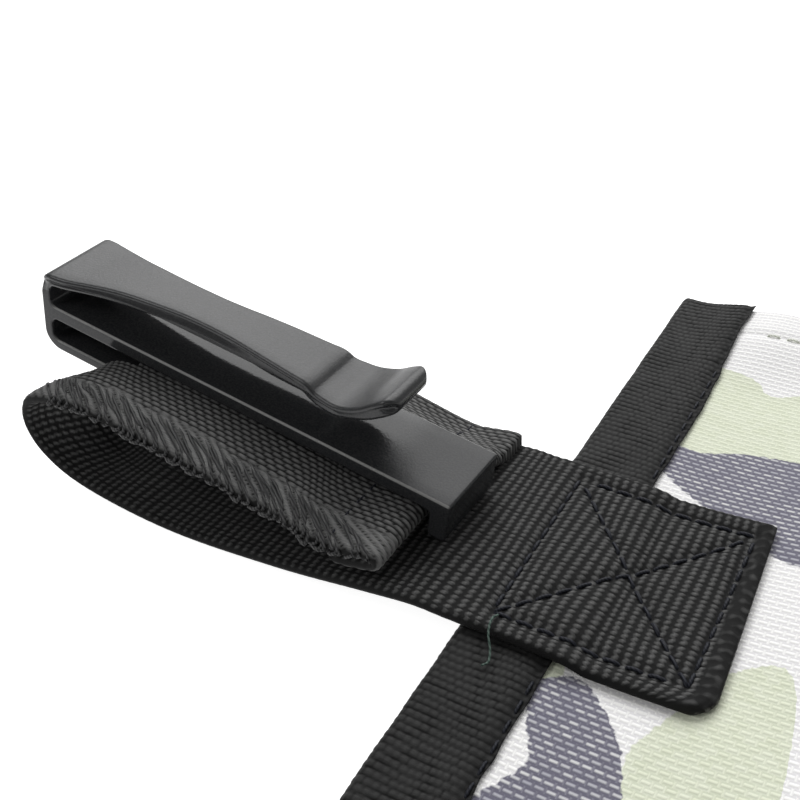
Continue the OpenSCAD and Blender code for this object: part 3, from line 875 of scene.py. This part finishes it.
wear = upper_layer * ramp(-T - 13.6 + 0.5 * ripples(S, S * 0, 10, 92), 1.6)
tab_end = on_tab * ramp(strap_x - (end_x - 3.0), 0.8)
fuzz = 0.38 + 0.16 * ripples(strap_x, T, 1.6, 95)
sway = S + 0.2 * ripples(S, T, 20, 93)
crest_in = yarns_inside(sway, T + 0.12 * ripples(S, T, 15, 94)) * (1 - tab_end) + fuzz * tab_end
crest_out = yarns_outside(sway, T) * (1 - wear) + loose_yarns(S, T) * wear
edge = np.clip((STRAP_W / 2 - np.abs(T)) / 0.9, 0, 1)
edge = np.sqrt(1 - (1 - edge) ** 2)
ends = np.clip(np.minimum(S, S[-1, 0] - S) / 0.8, 0.12, 1)
half = HALF_T * edge * ends + 0.06
seam_share = ramp(strap_x + 1.5, 2)
off_in = half + 0.26 * crest_in * edge + seam_share * pucker(strap_x, T) * edge
off_out = half + 0.28 * crest_out * edge
off_in = np.maximum(off_in, 0.12)
strap_in = to_row(strap_x + side_x * off_in, T, strap_z + side_z * off_in)
strap_out = to_row(strap_x - side_x * off_out, T, strap_z - side_z * off_out)
strap_cut = stack(S, T, S * 0)
# crest carries the painted shade of the weave: it fades out at the webbing's edges, painting them dark, and
# on the inner side it is scaled by 0.78, painted darker than the outer side
strap_webbing = mesh_piece(
    "strap_webbing", np.concatenate([strap_in.reshape(-1, 3), strap_out.reshape(-1, 3)]),
    sheet_faces(*S.shape, slit_keep), WEBBING, "webbing",
    cut=np.concatenate([strap_cut.reshape(-1, 3)] * 2),
    crest=np.concatenate([(crest_in * edge * 0.78).ravel(), (crest_out * edge).ravel()]))


def on_strap(s, t, outside, lift):
    """Point on the webbing's inner or outer side at a length s and a place t across it."""
    a = np.clip(np.asarray(s) / S[1, 0], 0, S.shape[0] - 1.001)
    b = np.clip((np.asarray(t) - ts[0]) / (ts[1] - ts[0]), 0, S.shape[1] - 1.001)
    i, j = a.astype(int), b.astype(int)
    off = lift + HALF_T
    sign = -1.0 if outside else 1.0
    x, z = strap_x[i, j] + sign * side_x[i, j] * off, strap_z[i, j] + sign * side_z[i, j] * off
    return to_row(x, np.asarray(t, float), z)


# ---- belt clip ----

PLATE_TOP_END = 2.6                # above this height everything belongs to the arm and the wall's top
PLATE_T, WALL_T, LEG_T, LIP_T, ARM_T = 2.4, 1.8, 1.8, 3.0, 1.9
LEG_DROP, LEG_L, LIP_DROP, ARM_LOW = 8.2, 50.0, 6.8, 3.7
# Middle line of the arm: u along the plate, h above it
ARM_ROUTE = [(-CLIP_L + ARM_T, ARM_LOW + ARM_T / 2), (-70, 4.85), (-62, 5.5), (-50, 6.1), (-38, 6.5),
             (-29, 6.55), (-26.2, 6.5), (-24.5, 5.75), (-22.8, 5.55), (-20, 5.7), (-16.5, 7), (-14, 8.6),
             (-11.6, 10.2)]
# Half width of the arm along the plate, and how far its middle lies off the plate's centre line
ARM_HALF = [(-CLIP_L, 6.4), (-73.8, 6.9), (-70.5, 6.8), (-62, 5.0), (-52, 4.0), (-44, 3.9), (-34, 4.7),
            (-26, 5.3), (-20, 6.0), (-15, 5.7), (-12.4, 4.8), (-11.0, 3.4), (-10.2, 2.2)]
ARM_SWAY = [(-CLIP_L, 0), (-70, 0), (-60, 0.5), (-50, 0.6), (-40, 0.5), (-28, 0), (0, 0)]


def clip_point(u, y, h):
    """Clip coordinates to the row frame: u runs back along the plate, h up from its top."""
    x = u * math.cos(CLIP_TILT) + h * math.sin(CLIP_TILT)
    z = -u * math.sin(CLIP_TILT) + h * math.cos(CLIP_TILT)
    origin = np.array([-HALF_W, STRAP_Y, TAB_TOP]) + PLATE_END
    return stack(origin[0] + x * math.cos(CLIP_YAW) - y * math.sin(CLIP_YAW),
                 origin[1] + x * math.sin(CLIP_YAW) + y * math.cos(CLIP_YAW), origin[2] + z)


def filleted(corners, step=0.16):
    """Closed outline through corners of (u, h, radius)."""
    points = []
    n = len(corners)
    for i in range(n):
        p = np.array(corners[i][:2], float)
        r = corners[i][2] if len(corners[i]) > 2 else 0
        before = unit(np.array(corners[i - 1][:2]) - p)
        after = unit(np.array(corners[(i + 1) % n][:2]) - p)
        half_angle = math.acos(np.clip(before @ after, -1, 1)) / 2
        if r <= 0 or half_angle > 1.5:
            points.append(p)
            continue
        reach = r / math.tan(half_angle)
        centre = p + unit(before + after) * (r / math.sin(half_angle))
        a, b = p + before * reach - centre, p + after * reach - centre
        sweep = math.pi - 2 * half_angle
        count = max(3, int(sweep * r / step) + 1)
        cross = a[0] * b[1] - a[1] * b[0]
        for k in range(count + 1):
            angle = math.copysign(sweep * k / count, cross)
            c, s = math.cos(angle), math.sin(angle)
            points.append(centre + np.array([a[0] * c - a[1] * s, a[0] * s + a[1] * c]))
    return np.array(points)


def clip_outline():
    """Side view of the clip, one closed line: leg, wall, arm, slot, plate and lip."""
    arm = smooth_line(ARM_ROUTE, 8)
    tangent = unit(np.gradient(arm, axis=0))
    side = stack(-tangent[:, 1], tangent[:, 0])
    thick = ARM_T / 2 * (1 + 0.45 * ramp(arm[:, 0] + 19, 7))[:, None]
    belly = 1 + 0.55 * (ramp(arm[:, 0] + 70, 12) * ramp(-24 - arm[:, 0], 10))[:, None]
    top, low = arm + side * thick, arm - side * thick * belly
    back, tip_r = -CLIP_L, 0.7 * ARM_T
    corners = [(back, -LEG_DROP, 3.2), (back, ARM_LOW + ARM_T, 2.2)]
    corners += [(u, h, 0) for u, h in top[10:-5]]
    corners += [(*top[-1], tip_r), (*low[-1], tip_r)]
    corners += [(u, h, 0) for u, h in low[-6:8:-1]]
    inner = back + WALL_T
    corners += [(inner, ARM_LOW, 1.1), (inner, 0, 1.1), (0, 0, 0.45), (0, -LIP_DROP, 0.7),
                (-LIP_T, -LIP_DROP, 0.7), (-LIP_T, -PLATE_T, 0.8), (inner, -PLATE_T, 1.2),
                (inner, LEG_T - LEG_DROP, 1.2), (inner + 2 + LEG_L, LEG_T - LEG_DROP, 0.8),
                (inner + 2 + LEG_L, -LEG_DROP, 0.8)]
    return filleted(corners)


def dense_outline(line, step):
    """Closed outline with its long runs divided."""
    out = []
    for a, b in zip(line, np.roll(line, -1, axis=0)):
        count = max(1, int(np.linalg.norm(b - a) / step))
        out += [a + (b - a) * k / count for k in range(count)]
    return np.array(out)


outline = dense_outline(clip_outline(), 0.5)
if np.sum(outline[:, 0] * np.roll(outline[:, 1], -1) - np.roll(outline[:, 0], -1) * outline[:, 1]) < 0:
    outline = outline[::-1]
after, before = np.roll(outline, -1, axis=0) - outline, outline - np.roll(outline, 1, axis=0)
edge_a = unit(stack(after[:, 1], -after[:, 0]))
edge_b = unit(stack(before[:, 1], -before[:, 0]))
outward = unit(edge_a + edge_b)
u, h = outline[:, 0], outline[:, 1]
on_arm = ramp(h - PLATE_TOP_END, 1.4) * ramp(u + CLIP_L + 1.0, 3.0)
arm_plan = smooth_line(ARM_HALF, 8)
arm_share = np.clip((h - 2.2) / 1.6, 0, 1)
width = CLIP_W / 2 + arm_share * (np.interp(u, arm_plan[:, 0], arm_plan[:, 1]) - CLIP_W / 2)
sway = arm_share * np.interp(u, *zip(*ARM_SWAY))
round_r = 0.34 + 0.21 * on_arm
rings, y_of = [], []
for share, drop in ((1.0, 0.0), (0.92, 0.38), (0.707, 0.707), (0.38, 0.92), (0.0, 1.0)):
    # from the band's edge to the side face, a quarter round
    inset = round_r * (1 - share)
    rings.append(outline - outward * inset[:, None])
    y_of.append(width - round_r + round_r * drop)
rings.append(rings[-1] - outward * 0.14)
y_of.append(width)
band = [(rings[k], -y_of[k]) for k in range(len(rings) - 1, 0, -1)]
band += [(outline, f * y_of[0]) for f in (-1.0, -0.66, -0.33, 0.0, 0.33, 0.66, 1.0)]
band += [(rings[k], y_of[k]) for k in range(1, len(rings))]
n = len(outline)
clip_points = np.concatenate([clip_point(p[:, 0], y * np.ones(n) + sway, p[:, 1]) for p, y in band])
index = np.arange(len(band) * n).reshape(len(band), n)
nxt = np.roll(index, -1, axis=1)
quads = stack(index[:-1], index[1:], nxt[1:], nxt[:-1]).reshape(-1, 4)
cap = np.array(tessellate_polygon([[Vector((a, b, 0)) for a, b in rings[-1]]]))
signed = np.cross(rings[-1][cap[:, 1]] - rings[-1][cap[:, 0]], rings[-1][cap[:, 2]] - rings[-1][cap[:, 0]])
cap = np.where((signed > 0)[:, None], cap, cap[:, ::-1])
up_face = np.clip(outward[:, 1], 0, 1) ** 2 * np.where(h > PLATE_TOP_END, 0.62, 0.45 * ramp(u + 20, 10))
on_plate = np.where(h < PLATE_TOP_END, 1.0, 0.0)
# painted highlight: the rounded top edges of the plate are marked in the rim attribute, which the material
# paints light grey
painted_highlight_up = np.clip(outward[:, 1], 0, 1) ** 4 * on_plate
grain, sleek, rim = [], [], []
for i in range(len(band)):
    # steps from the middle of the band: 0 to 3 is its face, 4 to 6 its rounded edge
    off = abs(i - len(band) // 2)
    grain.append(up_face * (1.0 if off <= 4 and 0 < i < len(band) - 1 else 0.2))
    sleek.append(on_plate * (ramp(-9 - u, 9) if off <= 3 else 0.8))
    # rim: the painted highlight, on the rounded edge rings only
    rim.append(painted_highlight_up * (1.0 if abs(off - 5) < 2 else 0.0))
faces = [quads, cap, cap[:, ::-1] + (len(band) - 1) * n]
belt_clip = mesh_piece("belt_clip", clip_points, faces, PLASTIC, "clip_plastic",
                       grain=np.concatenate(grain), sleek=np.concatenate(sleek), rim=np.concatenate(rim))
belt_clip.data.materials.append(SMOOTH_PLASTIC)
centre_h = np.concatenate([np.tile(h, len(band))[f].mean(1) for f in faces])
belt_clip.data.polygons.foreach_set("material_index", (centre_h < PLATE_TOP_END).astype(np.int32))

# ---- stitches and threads ----

STITCH_R = 0.21
ARCH = np.sin(np.linspace(0, math.pi, 7)) ** 0.6      # rise of a stitch along its length


def black_thread(name, lines, radius=STITCH_R):
    return tubes_piece(name, lines, radius, BLACK_THREAD, "black_thread")


def row_of(a, b, pitch=PITCH, skip=None):
    """Start and end of each stitch of a row from a to b in plan."""
    a, b = np.array(a, float), np.array(b, float)
    run = np.linalg.norm(b - a)
    way = (b - a) / run
    out = []
    for s in np.arange(pitch * 0.5, run - pitch * 0.4, pitch):
        p, q = a + way * (s - STITCH / 2), a + way * (s + STITCH / 2)
        if skip is None or not skip(*((p + q) / 2)):
            out.append((p, q))
    return out


def rows_along(corners):
    rows = []
    for a, b in zip(corners[:-1], corners[1:]):
        rows += row_of(a, b)
    return rows


def stitches_on(rows, height, up=1.0, arch=0.25):
    """Stitch lines lying on a face whose height is height(x, y); up is -1 on an underside."""
    lines = []
    for p, q in rows:
        u = np.linspace(0, 1, 7)
        x, y = p[0] + (q[0] - p[0]) * u, p[1] + (q[1] - p[1]) * u
        bow = arch * ARCH - 0.34 * (1 - np.sin(math.pi * u)) ** 3
        lines.append(stack(x, y, height(x, y) + up * bow))
    return lines


def edge_stitches(name, side, skip):
    """Lock stitches along a bound edge, on both faces."""
    x = side * (HALF_W - TAPE_W + 2)
    rows = row_of((x, -HALF_L + 1.5), (x, HALF_L - 1.5))
    top = [r for r in rows if not skip(*r[0]) and not skip(*r[1])]
    lines = stitches_on(top, lambda a, b: np.full(a.shape, TAPE_TOP - 0.42))
    lines += stitches_on(rows, lambda a, b: np.full(a.shape, EDGE_LOW - TAPE_T + 0.42), up=-1.0)
    return black_thread(name, lines)


def under_strap(x, y):
    return x < 0 and tab_low[1] - 0.5 < y < tab_high[1] + 0.5


thread_left = edge_stitches("thread_left", -1, under_strap)
thread_right = edge_stitches("thread_right", 1, lambda x, y: False)

half_row = HALF_W - TAPE_W - STITCH
rows = row_of((-half_row, TOPSTITCH_Y), (half_row, TOPSTITCH_Y))
lines = stitches_on(rows, lambda a, b: upper_at(a, b) - 0.24) + stitches_on(
    rows, lambda a, b: lower_at(a, b) + 0.24, up=-1.0)
thread_end = tubes_piece("thread_end", lines, 0.17, PALE_THREAD, "pale_thread")
rows = row_of((-half_row, MOUTH_Y + 8), (half_row, MOUTH_Y + 8))
thread_mouth = tubes_piece("thread_mouth", stitches_on(rows, lambda a, b: upper_at(a, b) + 0.02), 0.17,
                           PALE_THREAD, "pale_thread")


def grip_rows():
    x0, x1 = strip_low[0] + 2, strip_high[0] - 2
    y0, y1 = strip_low[1] + 2, strip_high[1] - 2
    return rows_along([(x0, y0), (x1, y0), (x1, y1), (x0, y1), (x0, y0)])


thread_loop_strip = black_thread(
    "thread_loop_strip", stitches_on(grip_rows(), lambda a, b: upper_at(a, b) + 0.62), 0.18)
thread_hook_strip = black_thread(
    "thread_hook_strip", stitches_on(grip_rows(), lambda a, b: flap_height(a, b) + SKIN_T + 0.02), 0.18)
inner_x, inner_y = FLAP_HALF - TAPE_W + 2, FLAP_END - TAPE_W + 2
rows = rows_along([(-inner_x, FOLD_Y + 2), (-inner_x, inner_y), (inner_x, inner_y), (inner_x, FOLD_Y + 2)])
thread_flap = black_thread("thread_flap", stitches_on(
    rows, lambda a, b: flap_height(a, b) + SKIN_T + TAPE_T - 0.42) + stitches_on(
    rows, lambda a, b: flap_height(a, b) - TAPE_T + 0.42, up=-1.0))


def tab_face(x, y):
    """Height of the tab's top, seams included."""
    d, t = x + HALF_W, y - STRAP_Y
    return tab_under(d, y) + STRAP_T / 2 + HALF_T + 0.1 + pucker(d, t)


rows = []
for a, b in BOX_LINES:
    rows += row_of((a[0] - HALF_W, a[1] + STRAP_Y), (b[0] - HALF_W, b[1] + STRAP_Y), 3.0)
thread_box_x = black_thread("thread_box_x", stitches_on(rows, tab_face, arch=0.34), 0.27)

top_s = lengths(line)[-1] - 15.5                       # on the upper layer, just before its turned end
seam_lines = []
for side in (-1, 1):
    for k in range(4):
        t0 = side * (STRAP_W / 2 - 2 - k * PITCH)
        t = t0 + np.linspace(-STITCH / 2, STITCH / 2, 7)
        seam_lines.append(on_strap(np.full(7, top_s), t, True, 0.28 * ARCH - 0.1))
thread_seam = black_thread("thread_seam", seam_lines)
slit_s = lengths(line)[np.argmin(np.abs(line[:, 0] + 58) + 100 * (lengths(line) > turn_at))]
tack = []
for k in range(-6, 7):
    t = k * 1.25 + np.zeros(7)
    tack.append(on_strap(slit_s - 1.3 + np.linspace(0, STITCH, 7), t, True, 0.30 * ARCH - 0.1))
thread_slit = black_thread("thread_slit", tack)

# worn edge: loops of yarn pulled out of the near edge of the upper layer
rng = np.random.default_rng(31)
frayed = []
for s in turn_at + 3 + np.cumsum(rng.uniform(0.8, 1.7, 60)):
    j = rng.normal(0, 0.30, 8)
    if s > lengths(line)[-1] - 15:
        break
    way = np.array([[0, -14.4, -0.05], [2.3, -15.7, 0.22], [4.4, -16.9, 0.28], [6.2, -18.0, 0.22],
                    [7.2, -18.9, 0.0], [7.0, -19.35, -0.5], [5.9, -18.9, -1.0]])
    way = smooth_line(way + stack(j[:7], j[1:8], np.zeros(7)), 3)
    frayed.append(on_strap(s + way[:, 0], way[:, 1], True, way[:, 2]))
worn_edge = tubes_piece("worn_edge", frayed, 0.27, FRAYED, "webbing", sides=5)

loose = smooth_line([(-86, 25, 9), (-86, 23, 10), (-85.5, 21, 9.5), (-84.5, 19.5, 8.5), (-84, 18, 8),
                     (-84.5, 17, 8)], 6)
loose_thread = tubes_piece("loose_thread", [loose], 0.16, GREEN_THREAD, "black_thread")

# ---- places in the frame ----

ON_POUCH = {
    "back_panel": cloth_back, "front_panel": cloth_front, "back_lining": lining_back,
    "front_lining": lining_front, "left_binding": tape_left, "right_binding": tape_right,
    "left_binding_stitches": thread_left, "right_binding_stitches": thread_right,
    "end_topstitch": thread_end, "mouth_topstitch": thread_mouth, "loop_strip": loop_pile,
    "loop_strip_stitches": thread_loop_strip, "box_x_stitches": thread_box_x}
ON_FLAP = {
    "flap_binding": tape_flap, "flap_binding_stitches": thread_flap,
    "hook_strip": hook_base, "hook_strip_stitches": thread_hook_strip}
ON_LOOP = {"loop_seam_stitches": thread_seam, "slit_stitches": thread_slit}
for table, body in ((ON_POUCH, "pouch"), (ON_FLAP, "flap"), (ON_LOOP, "strap_loop")):
    for node, piece in table.items():
        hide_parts(node)
        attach(piece, body)
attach(hook_rows, "flap")
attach(loose_thread, "pouch")
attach(worn_edge, "strap_loop")

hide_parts("flap_fold", "flap_panel")
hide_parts("flap_lining")
for piece in (flap_cloth, lining_flap):
    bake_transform(piece)
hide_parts("strap_tab", "webbing_loop")
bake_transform(strap_webbing)
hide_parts("clip_frame", "spring_arm")
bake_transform(belt_clip)

strap_length = lengths(line)[-1] * MM

# ---- floor, light and camera ----

bpy.ops.mesh.primitive_plane_add(size=6.0, location=(0, 0, -0.0003))
floor = bpy.context.object
floor.name = "floor"
floor.data.materials.append(floor_material())


def softbox(name, towards, distance, size, radiance, aim=(-0.11, 0.035, 0.02)):
    """Area light seen from the object in a given direction, with its brightness as radiance."""
    light = bpy.data.lights.new(name, "AREA")
    light.shape = "RECTANGLE"
    light.size, light.size_y = size
    light.energy = radiance * math.pi * size[0] * size[1]
    lamp = bpy.data.objects.new(name, light)
    way = Vector(towards).normalized()
    lamp.location = Vector(aim) + way * distance
    lamp.rotation_euler = way.to_track_quat("Z", "Y").to_euler()
    bpy.context.scene.collection.objects.link(lamp)
    return lamp


softbox("key_softbox", (-0.25, 0.68, 0.69), 1.1, (1.1, 0.8), 4.45)
softbox("fill_softbox", (-0.47, -0.53, 0.70), 0.9, (0.38, 0.32), 4.0)


def studio_world(front, back):
    """White surroundings whose strength rises from the front to the back."""
    world = bpy.data.worlds.new("studio")
    bpy.context.scene.world = world
    world.use_nodes = True
    tree = world.node_tree
    where = tree.nodes.new("ShaderNodeTexCoord")
    split = tree.nodes.new("ShaderNodeSeparateXYZ")
    tree.links.new(where.outputs["Generated"], split.inputs[0])
    level = tree.nodes.new("ShaderNodeMapRange")
    for socket, value in ((1, -1.0), (2, 1.0), (3, front), (4, back)):
        level.inputs[socket].default_value = value
    tree.links.new(split.outputs[1], level.inputs[0])
    tree.links.new(level.outputs[0], tree.nodes["Background"].inputs["Strength"])
    tree.nodes["Background"].inputs["Color"].default_value = (1, 1, 1, 1)


studio_world(0.22, 0.52)
scene = bpy.context.scene
scene.view_settings.view_transform = "Standard"
scene.view_settings.look = "None"

FOCAL_LENGTH = 53.46
CAMERA_AT = (-0.04455, -0.07692, 0.12183)
CAMERA_LOOKS = (-0.391, 0.712, -0.583)
lens = bpy.data.cameras.new("camera")
lens.lens, lens.sensor_width = FOCAL_LENGTH, 36.0
lens.clip_start = 0.01
camera = bpy.data.objects.new("camera", lens)
camera.location = CAMERA_AT
camera.rotation_euler = Vector(CAMERA_LOOKS).to_track_quat("-Z", "Y").to_euler()
scene.collection.objects.link(camera)
scene.camera = camera
